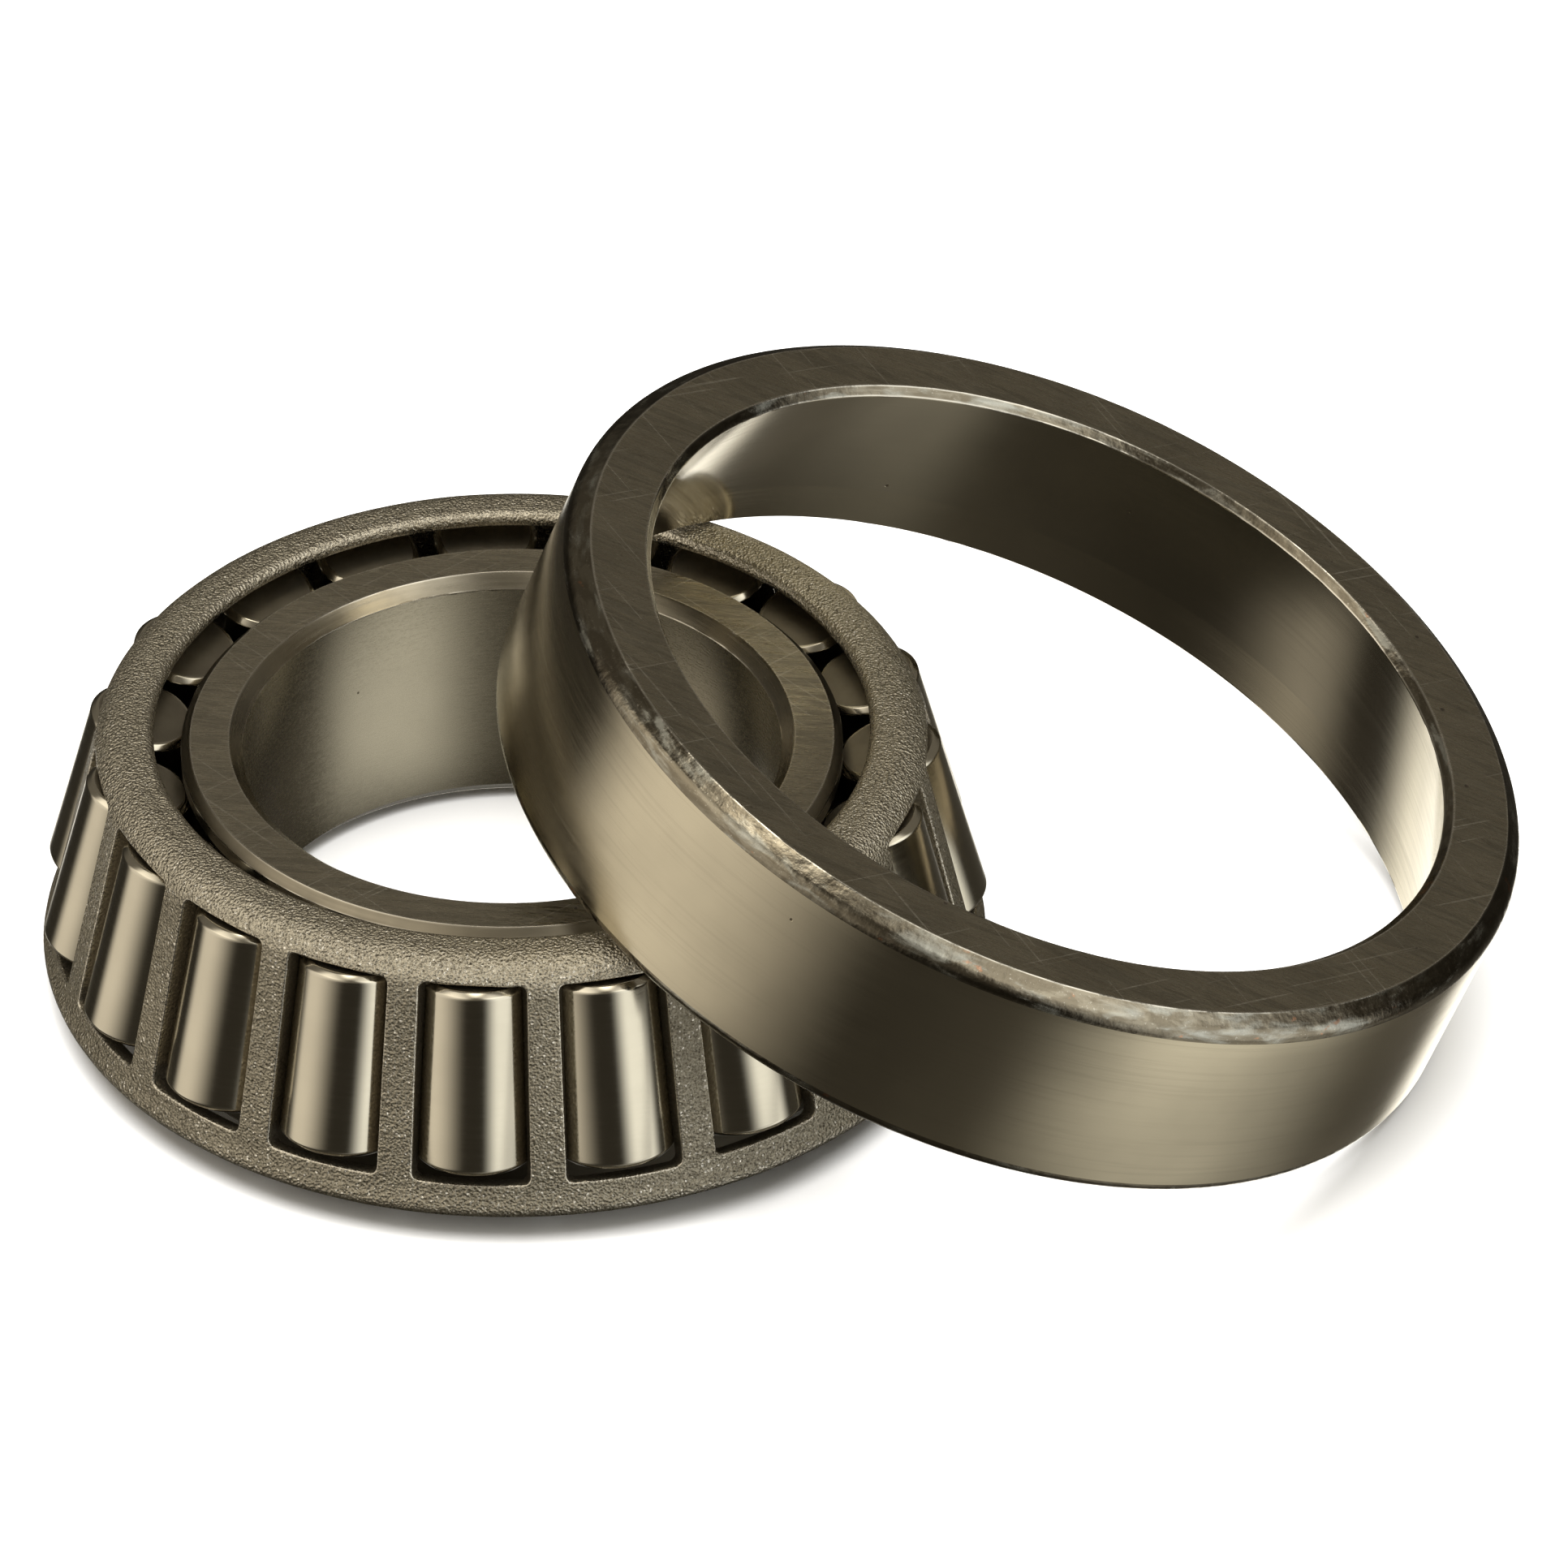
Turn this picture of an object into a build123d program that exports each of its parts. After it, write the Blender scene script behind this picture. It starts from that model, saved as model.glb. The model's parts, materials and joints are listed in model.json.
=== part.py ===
"""Single-row tapered roller bearing, taken apart: the inner ring with its cage and rollers
lies small end up, and the outer ring leans against it.

Millimetres, +Z up. The origin is the centre of the inner ring's back face, on the bore axis.
The outer ring leans towards +X, so its axis lies in the XZ plane.
All raceways and rollers are cones with one common apex, high up on the bore axis.
"""

from build123d import *
from math import cos, radians, sin, tan
import os

# Boundary dimensions of the bearing
bore_diameter = 45.0
outside_diameter = 85.0
inner_ring_width = 23.0
outer_ring_width = 19.0
assembled_width = 24.75

# Rolling geometry
contact_angle = 15.11        # half-angle of the outer raceway
raceway_diameter = 70.2      # outer raceway, in the plane of the outer ring's back face
roller_count = 19
roller_diameter = 10.0       # at the large end
roller_length = 16.2
roller_reach = 153.0         # from the common apex to the roller's large end, along its axis
roller_corner = 0.45
first_roller_azimuth = 6.1   # where the cage has come to rest
running_gap = 0.04           # between a roller and the inner raceway
rib_gap = 0.12               # between a roller's large end and the large rib

# Inner ring
bore_chamfer = 1.1
bore_back_chamfer = 1.5
small_rib_radius = 27.65
small_rib_chamfer = 0.75
small_rib_play = 0.25        # axial play of a roller towards the small rib
large_rib_radius = 33.0
large_rib_chamfer = 0.8
relief_depth = 0.3           # grinding reliefs at both ends of the raceway
relief_width = 0.7

# Cage, pressed from sheet
cage_sheet = 1.5
cage_standoff = 3.7          # from the roller's axis out to the cage's outer surface
cage_top = 24.5
cage_lip_radius = 29.9
cage_shoulder_radius = 3.0
cage_foot_height = 2.6
cage_foot_radius = 40.0
cage_flare_start = 4.6
pocket_large_width = 9.75
pocket_small_width = 8.85
pocket_foot_gap = 1.2
pocket_top_gap = 0.35
pocket_foot_corner = 0.35
pocket_top_corner = 0.7

# Outer ring, and how it leans
back_face_outer_radius = 40.8
back_face_inner_radius = 35.95
outer_bevel_height = 1.18
outer_bevel_round = 1.5
inner_bevel_height = 0.7
front_face_round = 1.2
front_face_inner_chamfer = 0.35
lean_angle = 21.0
lean_offset = 38.4           # from the bore axis to the middle of the outer ring's front face

# Cone geometry that follows from the dimensions above
bore_radius = bore_diameter / 2
outside_radius = outside_diameter / 2
raceway_slope = tan(radians(contact_angle))
apex_height = assembled_width + raceway_diameter / 2 / raceway_slope
roller_radius = roller_diameter / 2
roller_taper = roller_radius / roller_reach
roller_small_radius = roller_radius - roller_length * roller_taper
roller_half_angle = Vector(roller_reach, roller_radius).get_angle(Vector(1, 0))
roller_tilt = contact_angle - roller_half_angle
inner_raceway_angle = contact_angle - 2 * roller_half_angle
tilt_sin = sin(radians(roller_tilt))
tilt_cos = cos(radians(roller_tilt))
tilt_tan = tan(radians(roller_tilt))
foot_radius = roller_reach * tilt_sin
foot_height = apex_height - roller_reach * tilt_cos


def inner_raceway_radius(height):
    """Radius of the inner raceway, the running gap already taken off."""
    slope = tan(radians(inner_raceway_angle))
    return (apex_height - height) * slope - running_gap / cos(radians(inner_raceway_angle))


def end_plane_height(radius, along):
    """Height at which a plane square to the roller, this far along it, has this radius."""
    return foot_height + along / tilt_cos + (radius - foot_radius) * tilt_tan


def cage_surface_radius(height, standoff):
    """Radius of a cone parallel to the roller's axis, this far outside it."""
    return foot_radius - (height - foot_height) * tilt_tan + standoff / tilt_cos


def roller_plane(azimuth):
    """Plane through a roller's axis: origin at its large end, local Y up along the axis."""
    turn = radians(azimuth)
    foot = (foot_radius * cos(turn), foot_radius * sin(turn), foot_height)
    outward = (tilt_cos * cos(turn), tilt_cos * sin(turn), tilt_sin)
    return Plane(origin=foot, x_dir=outward, z_dir=(sin(turn), -cos(turn), 0))


def vertex_at(sketch, x, y):
    """The sketch vertex nearest to a point of the profile, in the sketch's own plane."""
    return sketch.vertices().sort_by_distance((x, y, 0))[0]


os.makedirs("parts", exist_ok=True)

# Inner ring: bore, large rib, conical raceway, small rib
relief_start = inner_raceway_radius(foot_height)
rib_face_foot = end_plane_height(relief_start + relief_width, 0) - rib_gap
rib_face_top = end_plane_height(large_rib_radius - 0.4, 0) - rib_gap
large_relief_end = rib_face_foot + relief_width
small_rib_start = end_plane_height(small_rib_radius, roller_length) + small_rib_play
small_relief_start = small_rib_start - relief_width
large_relief_radius = inner_raceway_radius(large_relief_end) - relief_depth
small_relief_radius = inner_raceway_radius(small_rib_start) - relief_depth

with BuildPart() as inner_ring:
    with BuildSketch(Plane.XZ) as section:
        with BuildLine():
            Polyline(
                (bore_radius, bore_back_chamfer),
                (bore_radius + bore_back_chamfer, 0),
                (large_rib_radius - large_rib_chamfer, 0),
                (large_rib_radius, large_rib_chamfer),
                (large_rib_radius, rib_face_top - 0.4),
                (large_rib_radius - 0.4, rib_face_top),
                (relief_start + relief_width, rib_face_foot),
                (large_relief_radius, rib_face_foot - relief_depth),
                (large_relief_radius, large_relief_end - relief_depth),
                (inner_raceway_radius(large_relief_end), large_relief_end),
                (inner_raceway_radius(small_relief_start), small_relief_start),
                (small_relief_radius, small_relief_start + relief_depth),
                (small_relief_radius, small_rib_start),
                (small_rib_radius - 0.15, small_rib_start),
                (small_rib_radius, small_rib_start + 0.15),
                (small_rib_radius, inner_ring_width - small_rib_chamfer),
                (small_rib_radius - small_rib_chamfer, inner_ring_width),
                (bore_radius + bore_chamfer, inner_ring_width),
                (bore_radius, inner_ring_width - bore_chamfer),
                close=True,
            )
        make_face()
    revolve(axis=Axis.Z)
inner_ring.part.label = "inner_ring"
export_step(inner_ring.part, "parts/inner_ring.step")

# Tapered rollers, all alike, each standing in its own pocket
roller_azimuths = [first_roller_azimuth + 360 / roller_count * i for i in range(roller_count)]

for number, azimuth in enumerate(roller_azimuths, start=1):
    name = f"roller_{number:02d}"
    plane = roller_plane(azimuth)
    with BuildPart() as roller:
        with BuildSketch(plane):
            with BuildLine():
                Polyline(
                    (0, 0),
                    (roller_radius - roller_corner, 0),
                    (roller_radius - roller_corner * roller_taper, roller_corner),
                    (roller_small_radius + roller_corner * roller_taper, roller_length - roller_corner),
                    (roller_small_radius - roller_corner, roller_length),
                    (0, roller_length),
                    close=True,
                )
            make_face()
        revolve(axis=Axis(plane.origin, plane.y_dir))
    roller.part.label = name
    export_step(roller.part, f"parts/{name}.step")

# Cage: a pressed cup of sheet with one window for each roller
cage_inner_standoff = cage_standoff - cage_sheet
cage_foot_inner_radius = cage_foot_radius - cage_sheet / tilt_cos
outer_shoulder = (cage_surface_radius(cage_top, cage_standoff), cage_top)
inner_shoulder_height = cage_top - cage_sheet
inner_shoulder = (cage_surface_radius(inner_shoulder_height, cage_inner_standoff), inner_shoulder_height)

with BuildPart() as cage:
    with BuildSketch(Plane.XZ) as section:
        with BuildLine():
            Polyline(
                (cage_foot_inner_radius, cage_foot_height),
                (cage_foot_radius, cage_foot_height),
                (cage_surface_radius(cage_flare_start, cage_standoff), cage_flare_start),
                outer_shoulder,
                (cage_lip_radius, cage_top),
                (cage_lip_radius, inner_shoulder_height),
                inner_shoulder,
                (cage_surface_radius(cage_flare_start, cage_inner_standoff), cage_flare_start),
                close=True,
            )
        make_face()
        fillet(vertex_at(section, *outer_shoulder), radius=cage_shoulder_radius)
        fillet(vertex_at(section, *inner_shoulder), radius=cage_shoulder_radius - cage_sheet)
        fillet(vertex_at(section, cage_lip_radius, cage_top), radius=cage_sheet * 0.48)
        fillet(vertex_at(section, cage_lip_radius, inner_shoulder_height), radius=cage_sheet * 0.48)
        fillet(vertex_at(section, cage_foot_radius, cage_foot_height), radius=cage_sheet * 0.3)
        fillet(vertex_at(section, cage_foot_inner_radius, cage_foot_height), radius=cage_sheet * 0.3)
    revolve(axis=Axis.Z)
    for azimuth in roller_azimuths:
        axis_plane = roller_plane(azimuth)
        window_plane = Plane(
            origin=axis_plane.origin + axis_plane.x_dir,
            x_dir=-axis_plane.z_dir,
            z_dir=axis_plane.x_dir,
        )
        with BuildSketch(window_plane) as window:
            with BuildLine():
                Polyline(
                    (-pocket_large_width / 2, -pocket_foot_gap),
                    (pocket_large_width / 2, -pocket_foot_gap),
                    (pocket_small_width / 2, roller_length + pocket_top_gap),
                    (-pocket_small_width / 2, roller_length + pocket_top_gap),
                    close=True,
                )
            make_face()
            corners = window.vertices().sort_by(Axis.Y)
            fillet(corners[:2], radius=pocket_foot_corner)
            fillet(corners[2:], radius=pocket_top_corner)
        extrude(amount=roller_diameter, mode=Mode.SUBTRACT)
cage.part.label = "cage"
export_step(cage.part, "parts/cage.step")

# Outer ring: drawn in its own leaning frame, its front face's round resting on the ground
lean_sin = sin(radians(lean_angle))
lean_cos = cos(radians(lean_angle))
lean_height = (outside_radius - front_face_round) * lean_sin + front_face_round * (1 - lean_cos)
ring_plane = Plane(
    origin=(lean_offset, 0, lean_height),
    x_dir=(lean_cos, 0, -lean_sin),
    z_dir=(0, -1, 0),
)


def outer_raceway_radius(height):
    """Radius of the outer raceway at a height above the ring's front face."""
    return raceway_diameter / 2 + (outer_ring_width - height) * raceway_slope


raceway_back_end = outer_ring_width - inner_bevel_height

with BuildPart() as outer_ring:
    with BuildSketch(ring_plane) as section:
        with BuildLine():
            Polyline(
                (outer_raceway_radius(0) + front_face_inner_chamfer, 0),
                (outside_radius, 0),
                (outside_radius, outer_ring_width - outer_bevel_height),
                (back_face_outer_radius, outer_ring_width),
                (back_face_inner_radius, outer_ring_width),
                (outer_raceway_radius(raceway_back_end), raceway_back_end),
                (outer_raceway_radius(front_face_inner_chamfer), front_face_inner_chamfer),
                close=True,
            )
        make_face()
    revolve(axis=Axis(ring_plane.origin, ring_plane.y_dir))
    outside_edges = outer_ring.edges().filter_by(GeomType.CIRCLE).group_by(SortBy.RADIUS)[-1]
    front_edge, back_edge = outside_edges.sort_by(Axis(ring_plane.origin, ring_plane.y_dir))
    fillet(front_edge, radius=front_face_round)
    fillet(back_edge, radius=outer_bevel_round)
outer_ring.part.label = "outer_ring"
export_step(outer_ring.part, "parts/outer_ring.step")
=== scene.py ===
"""Looks for the tapered roller bearing: ground, polished and pressed steel in a light tent.

Metres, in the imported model's frame. Both rings, every roller and the cage are rebuilt as fine
meshes in place of their CAD nodes, with softened edges, and each surface has a procedural steel.
"""

import json
import random
from math import asin, atan2, ceil, cos, degrees, hypot, pi, radians, sin, tau

import bmesh
import bpy
from mathutils import Matrix, Vector, noise

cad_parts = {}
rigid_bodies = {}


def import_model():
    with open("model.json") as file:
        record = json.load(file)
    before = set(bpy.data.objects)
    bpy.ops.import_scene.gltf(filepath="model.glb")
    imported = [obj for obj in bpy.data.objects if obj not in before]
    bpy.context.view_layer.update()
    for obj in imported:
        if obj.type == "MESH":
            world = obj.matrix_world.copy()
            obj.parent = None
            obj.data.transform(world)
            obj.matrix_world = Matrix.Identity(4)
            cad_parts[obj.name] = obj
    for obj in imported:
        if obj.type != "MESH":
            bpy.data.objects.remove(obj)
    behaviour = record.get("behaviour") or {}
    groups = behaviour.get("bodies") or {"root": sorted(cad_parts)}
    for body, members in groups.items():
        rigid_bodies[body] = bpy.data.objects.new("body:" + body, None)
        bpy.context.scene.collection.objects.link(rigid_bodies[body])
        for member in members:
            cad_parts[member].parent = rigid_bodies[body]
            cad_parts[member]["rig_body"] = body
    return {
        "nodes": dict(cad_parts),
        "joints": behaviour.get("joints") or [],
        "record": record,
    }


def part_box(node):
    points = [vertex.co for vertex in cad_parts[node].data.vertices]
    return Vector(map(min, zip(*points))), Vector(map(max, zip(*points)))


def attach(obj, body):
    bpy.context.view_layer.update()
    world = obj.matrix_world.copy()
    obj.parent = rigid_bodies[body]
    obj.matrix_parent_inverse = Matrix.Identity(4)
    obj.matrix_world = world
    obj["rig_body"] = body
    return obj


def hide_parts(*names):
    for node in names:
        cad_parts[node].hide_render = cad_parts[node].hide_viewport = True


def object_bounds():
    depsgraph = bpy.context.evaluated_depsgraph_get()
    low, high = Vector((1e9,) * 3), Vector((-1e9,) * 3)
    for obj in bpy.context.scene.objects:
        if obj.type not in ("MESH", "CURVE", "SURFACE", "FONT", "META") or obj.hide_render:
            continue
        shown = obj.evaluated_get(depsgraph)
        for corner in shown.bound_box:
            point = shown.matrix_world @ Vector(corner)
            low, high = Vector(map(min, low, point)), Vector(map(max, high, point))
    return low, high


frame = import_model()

cad_low, cad_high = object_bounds()

MM = 0.001
MERGE = 0.002 * MM
UP = Vector((0, 0, 1))
scene = bpy.context.scene
record = frame["record"]
mounts = {mount["name"]: mount for mount in record["mounts"]}
joints = {joint["name"]: joint for joint in frame["joints"]}
rollers = sorted(name for name in frame["nodes"] if name.startswith("roller_"))
middle = (cad_low + cad_high) / 2

# Softened edges and fineness of the ring and roller meshes
EDGE_ROUND = 0.09 * MM
ROLLER_ROUND = 0.35 * MM
LONGEST_STEP = 1.6 * MM
SUPPORT = 0.12 * MM
STRAIGHT_TURN = radians(0.4)
CORNER_TURN = radians(20)
ARC_STEPS = 4
RING_SEGMENTS = 480
ROLLER_SEGMENTS = 80

# Where one steel gives way to the next on the rings
INNER_BEVEL_HEIGHT = 0.7 * MM
THIN_END_WALL = 2.3 * MM
BORE_CHAMFER_REACH = 1.6 * MM

# Which way the outer ring's seam faces, and how the rings' edges wander
OUTER_RING_SEAM = (1, 0, -0.4)
OUTER_RING_WANDER = 0.05 * MM
INNER_RING_WANDER = 0.025 * MM
OUTER_RING_SEED = 40
INNER_RING_SEED = 90
ROLLER_SEED = 19

# The cage's pressed sheet and its windows
SHEET = 1.5 * MM
CAGE_STANDOFF = 3.7 * MM
FLARE_START = 4.6 * MM
FLARE_ROUND = 4.0 * MM
SHOULDER_ROUND = 3.0 * MM
LIP_RADIUS = 29.9 * MM
WINDOW_FOOT_HALF = 4.875 * MM
WINDOW_TOP_HALF = 4.425 * MM
WINDOW_FOOT_GAP = 1.2 * MM
WINDOW_TOP_GAP = 0.35 * MM
WINDOW_CORNER = 0.62 * MM
WINDOW_ROUND = 0.2 * MM
FOOT_NARROWING = 0.32 * MM
TOP_NARROWING = 0.47 * MM


# ---------------------------------------------------------------- frames and sections


def axis_frame(origin, axis, seam):
    """Matrix of a frame whose Z runs along axis and whose X lies as near to seam as it can."""
    z = Vector(axis).normalized()
    x = (Vector(seam) - Vector(seam).dot(z) * z).normalized()
    matrix = Matrix((x, z.cross(x), z)).transposed().to_4x4()
    matrix.translation = Vector(origin)
    return matrix


def roller_frame(name):
    """Frame of a roller: origin at its large end, Z along its axis to the small end."""
    joint = joints[name + "_spin"]
    return axis_frame(joint["pos_m"], joint["axis"], UP)


def section_reach(node, matrix):
    """Lowest and highest point of a node along a frame's Z."""
    inverse = matrix.inverted()
    heights = [(inverse @ vertex.co).z for vertex in frame["nodes"][node].data.vertices]
    return min(heights), max(heights)


def section(node, matrix):
    """The CAD node's outline in the X-Z half-plane of a frame, as a list of (radius, height).

    A ring gives a closed loop, and a solid of revolution an open run from axis to axis.
    """
    mesh = bmesh.new()
    mesh.from_mesh(frame["nodes"][node].data)
    mesh.transform(matrix.inverted())
    bmesh.ops.remove_doubles(mesh, verts=mesh.verts, dist=MERGE)
    geometry = mesh.verts[:] + mesh.edges[:] + mesh.faces[:]
    plane = {"plane_co": (0, 0, 0), "plane_no": (0, 1, 0)}
    cut = bmesh.ops.bisect_plane(mesh, geom=geometry, dist=MERGE, **plane)
    edges = [item for item in cut["geom_cut"] if isinstance(item, bmesh.types.BMEdge)]
    neighbours = {}
    for edge in edges:
        if sum(vertex.co.x for vertex in edge.verts) > MERGE:
            first, second = edge.verts
            neighbours.setdefault(first, []).append(second)
            neighbours.setdefault(second, []).append(first)
    ends = [vertex for vertex, others in neighbours.items() if len(others) == 1]
    start = min(ends or neighbours, key=lambda item: (round(item.co.z, 6), item.co.x))
    run = [start]
    while True:
        onward = [other for other in neighbours[run[-1]] if other not in run]
        if not onward:
            break
        run.append(max(onward, key=lambda item: item.co.x))
    outline = [Vector((vertex.co.x, vertex.co.z)) for vertex in run]
    mesh.free()
    if ends:
        return [Vector((0, outline[0].y))] + outline[1:-1] + [Vector((0, outline[-1].y))]
    return outline


def turn_at(before, here, after):
    """How far an outline turns at a point, in radians."""
    return abs((here - before).angle_signed(after - here, 0.0))


def straightened(outline, closed):
    """The outline without the points that lie on a straight run."""
    count = len(outline)
    kept = []
    for index, here in enumerate(outline):
        at_end = not closed and index in (0, count - 1)
        turn = turn_at(outline[index - 1], here, outline[(index + 1) % count])
        if at_end or turn > STRAIGHT_TURN:
            kept.append(here)
    return kept


def softened(outline, closed, radius=EDGE_ROUND):
    """The outline as (point, edge mark) pairs: corners rounded, long runs cut into short ones."""
    count = len(outline)
    points = []
    for index, here in enumerate(outline):
        before, after = outline[index - 1], outline[(index + 1) % count]
        at_end = not closed and index in (0, count - 1)
        turn = 0 if at_end else turn_at(before, here, after)
        if turn < CORNER_TURN:
            points.append((here, 0.0))
            continue
        back, on = before - here, after - here
        reach = min(radius * sin(turn / 2) / cos(turn / 2), 0.4 * back.length, 0.4 * on.length)
        first = here + back.normalized() * reach
        last = here + on.normalized() * reach
        if back.length > 4 * (SUPPORT + reach):
            points.append((first + back.normalized() * SUPPORT, 0.0))
        for step in range(ARC_STEPS + 1):
            share = step / ARC_STEPS
            bend = first.lerp(here, share).lerp(here.lerp(last, share), share)
            # a rounded corner gets mark 1, for polished steel and a painted highlight
            points.append((bend, 1.0))
        if on.length > 4 * (SUPPORT + reach):
            points.append((last + on.normalized() * SUPPORT, 0.0))
    fine = []
    pairs = zip(points, points[1:] + points[:1]) if closed else zip(points, points[1:])
    for (here, wear_and_painted_light), (after, _) in pairs:
        steps = ceil((after - here).length / LONGEST_STEP)
        fine.append((here, wear_and_painted_light))
        fine += [(here.lerp(after, step / steps), 0.0) for step in range(1, steps)]
    return fine if closed else fine + [points[-1]]


def uneven(seed, waves=9):
    """A smooth closed curve of random bumps round a circle, mostly between -1 and 1."""
    chance = random.Random(seed)
    terms = []
    for _ in range(waves):
        terms.append((chance.randint(3, 90), chance.uniform(0, tau), chance.uniform(0.3, 1)))
    total = sum(size for _, _, size in terms)

    def bump(angle):
        return sum(size * sin(rate * angle + phase) for rate, phase, size in terms) / total * 2

    return bump


# ---------------------------------------------------------------- meshes


def finished_piece(name, mesh, matrix, materials, node):
    """Turns a bmesh into a smooth object in place of a CAD node."""
    bmesh.ops.recalc_face_normals(mesh, faces=mesh.faces)
    for face in mesh.faces:
        face.smooth = True
    data = bpy.data.meshes.new(name)
    mesh.to_mesh(data)
    mesh.free()
    piece = bpy.data.objects.new(name, data)
    scene.collection.objects.link(piece)
    piece.matrix_world = matrix
    for material in materials:
        data.materials.append(material)
    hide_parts(node)
    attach(piece, frame["nodes"][node]["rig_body"])
    return piece


def revolved(outline, closed, segments, zone_of, wander=0.0, seed=0):
    """A bmesh of the outline turned round Z. zone_of(radius, height) picks each band's material.

    Worn edges wander along the outline by up to about the distance given.
    """
    mesh = bmesh.new()
    wear_and_light_layer = mesh.verts.layers.float.new("edge")
    rings = []
    bumps = None
    for index, (point, wear_and_painted_light) in enumerate(outline):
        if point.x < MERGE:
            rings.append([mesh.verts.new((0, 0, point.y))])
            continue
        if wear_and_painted_light and not (index and outline[index - 1][1]):
            bumps = uneven(seed + index)
        along = outline[index - 1][0] - outline[(index + 1) % len(outline)][0]
        ring = []
        for step in range(segments):
            angle = tau * step / segments
            shift = wander * bumps(angle) if wear_and_painted_light and wander else 0.0
            radius, height = point + along.normalized() * shift
            vertex = mesh.verts.new((radius * cos(angle), radius * sin(angle), height))
            vertex[wear_and_light_layer] = wear_and_painted_light
            ring.append(vertex)
        rings.append(ring)
    pairs = list(zip(range(len(rings)), range(1, len(rings))))
    if closed:
        pairs.append((len(rings) - 1, 0))
    for low, high in pairs:
        centre = (outline[low][0] + outline[high][0]) / 2
        zone = zone_of(centre.x, centre.y)
        for step in range(segments):
            after = (step + 1) % segments
            corners = [rings[low][step % len(rings[low])], rings[low][after % len(rings[low])]]
            corners += [rings[high][after % len(rings[high])], rings[high][step % len(rings[high])]]
            face = mesh.faces.new(list(dict.fromkeys(corners)))
            face.material_index = zone
    return mesh


# ---------------------------------------------------------------- the pressed cage

# Fineness of the cage's section and mesh, and the slight waves that pressing left in it
SHEET_STEP = 0.05 * MM
FOOT_ROWS = 6
SHOULDER_ROWS = 16
SIDE_ROWS = 12
CORNER_STEPS = 4
ROUND_STEPS = 3
CAP_STEPS = 6
WINDOW_COLUMNS = 6
BAR_COLUMNS = 6
PRESS_WAVES = 0.03 * MM
PRESS_SPACING = 6 * MM
PRESS_SEED = 3


def rounded_path(corners, radii, step):
    """Points, with outward normals, along a run of straight lines joined by arcs."""
    path = []
    last = corners[0]
    for before, here, after, radius in zip(corners, corners[1:], corners[2:], radii):
        back, on = (before - here).normalized(), (after - here).normalized()
        opening = back.angle(on)
        reach = radius * cos(opening / 2) / sin(opening / 2)
        first, end = here + back * reach, here + on * reach
        path += line_points(last, first, step)
        centre = here + (back + on).normalized() * (radius / sin(opening / 2))
        swing = (first - centre).angle_signed(end - centre)
        outward = 1 if swing < 0 else -1
        count = ceil(abs(swing) * radius / step)
        for number in range(count):
            arm = (first - centre).copy()
            arm.rotate(Matrix.Rotation(-swing * number / count, 2))
            path.append((centre + arm, arm.normalized() * outward))
        last = end
    path += line_points(last, corners[-1], step)
    path.append((corners[-1], path[-1][1]))
    return path


def line_points(start, end, step):
    """Points along one straight line, each with the normal on its right-hand side."""
    run = end - start
    count = max(1, ceil(run.length / step))
    normal = Vector((run.y, -run.x)).normalized()
    return [(start.lerp(end, number / count), normal) for number in range(count)]


class PressedSheet:
    """The cage's section: its outer surface from foot to lip, and the sheet's depth below it."""

    def __init__(self, foot, tilt):
        low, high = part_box("cage")
        self.foot, self.tilt = foot, tilt
        widest = max(high.x, high.y, -low.x, -low.y)
        flare = Vector((self.cone(FLARE_START), FLARE_START))
        rise = (flare - Vector((widest, low.z))).normalized()
        edge_middle = Vector((widest - SHEET / 2, low.z + SHEET / 2))
        corners = [
            edge_middle + (Vector((rise.y, -rise.x)) - rise) * SHEET / 2,
            flare,
            Vector((self.cone(high.z), high.z)),
            Vector((LIP_RADIUS, high.z)),
        ]
        self.path = rounded_path(corners, [FLARE_ROUND, SHOULDER_ROUND], SHEET_STEP)
        self.length = (len(self.path) - 1) * SHEET_STEP
        roller_foot = self.foot.y + CAGE_STANDOFF * sin(tilt)
        misses = [abs(point.y - roller_foot) for point, _ in self.path]
        self.window_zero = misses.index(min(misses)) * SHEET_STEP

    def cone(self, height):
        """Radius of the outer surface's cone, which runs along the rollers' axes."""
        axis_radius = self.foot.x - (height - self.foot.y) * sin(self.tilt) / cos(self.tilt)
        return axis_radius + CAGE_STANDOFF / cos(self.tilt)

    def point(self, along, depth):
        """The section's point at a length along the outer surface, this deep into the sheet."""
        place = min(max(along / SHEET_STEP, 0), len(self.path) - 1.001)
        index = int(place)
        (here, normal), (after, next_normal) = self.path[index], self.path[index + 1]
        share = place - index
        return here.lerp(after, share) - normal.lerp(next_normal, share).normalized() * depth


def window_outline(top, grow, narrowed):
    """Half the outline of a window, grown by a margin, as (sideways, along) pairs.

    It starts at the middle of the window's foot. Where narrowed is 1, at the sheet's inner side,
    its sides stand closer, because the rollers bear on them. Where it's 0, they don't.
    """
    foot_edge = WINDOW_FOOT_HALF - WINDOW_CORNER - narrowed * FOOT_NARROWING
    top_edge = WINDOW_TOP_HALF - WINDOW_CORNER - narrowed * TOP_NARROWING
    corner = WINDOW_CORNER + grow
    low, high = -WINDOW_FOOT_GAP, top
    shares = [step / WINDOW_COLUMNS for step in range(WINDOW_COLUMNS)]
    run = [(foot_edge * share, low - grow) for share in shares]
    for step in range(CORNER_STEPS + 1):
        swing = pi / 2 * step / CORNER_STEPS
        run.append((foot_edge + corner * sin(swing), low + WINDOW_CORNER - corner * cos(swing)))
    side_start = Vector(run[-1])
    side_end = Vector((top_edge + corner, high - WINDOW_CORNER))
    run += [tuple(side_start.lerp(side_end, step / SIDE_ROWS)) for step in range(1, SIDE_ROWS)]
    for step in range(CORNER_STEPS + 1):
        swing = pi / 2 * step / CORNER_STEPS
        run.append((top_edge + corner * cos(swing), high - WINDOW_CORNER + corner * sin(swing)))
    run += [(top_edge * share, high + grow) for share in reversed(shares)]
    return run


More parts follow.
